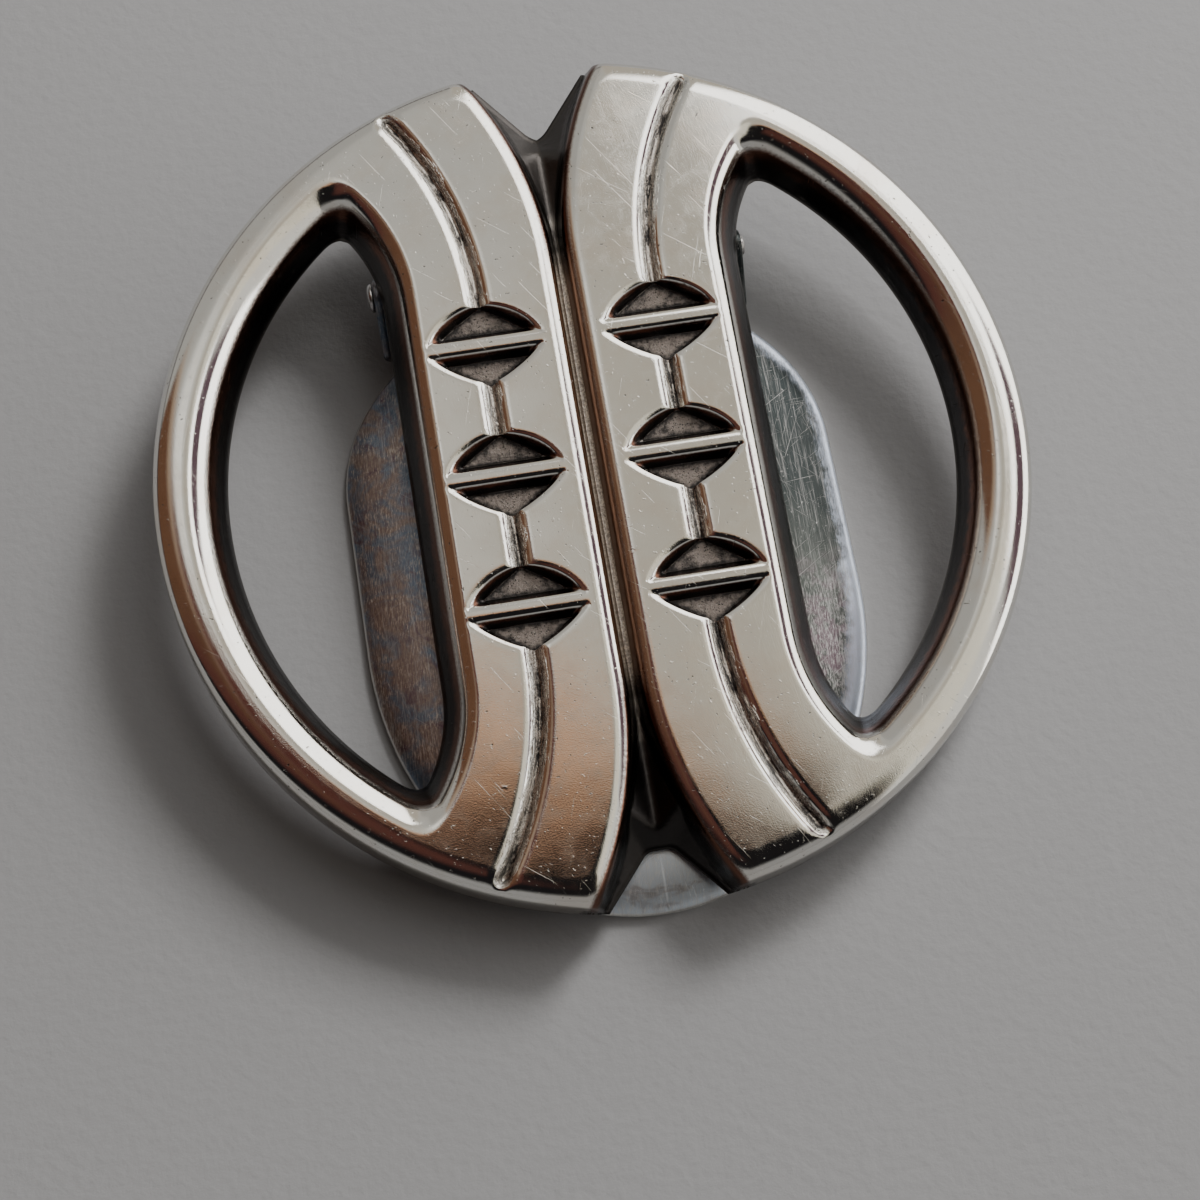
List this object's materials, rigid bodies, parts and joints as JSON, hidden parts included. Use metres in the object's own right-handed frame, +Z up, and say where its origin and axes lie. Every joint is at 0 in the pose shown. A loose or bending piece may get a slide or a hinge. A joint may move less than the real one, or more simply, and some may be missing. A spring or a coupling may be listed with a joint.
{
  "type": "scarf clip",
  "caption": "Round plated scarf clip, pierced and engraved with paired triangles, with a sprung oval clip plate hinged behind it to grip the cloth.",
  "frame": {"origin": "on the surface that the clip lies on, under the middle of its outline", "axes": "+Z up, away from the surface; +Y towards the hinge end, which is the top of the ornament when it is worn; +X to the right as the ornament is seen from the front"},
  "size_m": [0.0502, 0.05, 0.0082],
  "materials": {
    "plated_casting": "polished plating with fine scratches and dark engraved recesses",
    "pin_steel": "plain drawn steel",
    "tarnished_sheet": "brushed plated sheet, scratched, with brown and blue tarnish"
  },
  "bodies": {
    "clip": {"clip_plate": "tarnished_sheet"},
    "front": {"ornament": "plated_casting", "hinge_pin": "pin_steel"}
  },
  "joints": [
    {"name": "clip_hinge", "type": "hinge", "parent": "clip", "child": "front", "pos_m": [0, 0.01326, 0.0035], "axis": [-1, 0, 0], "range_deg": [0, 28], "stiffness_Nm_per_rad": 0.08, "springref_deg": -20.05}
  ]
}
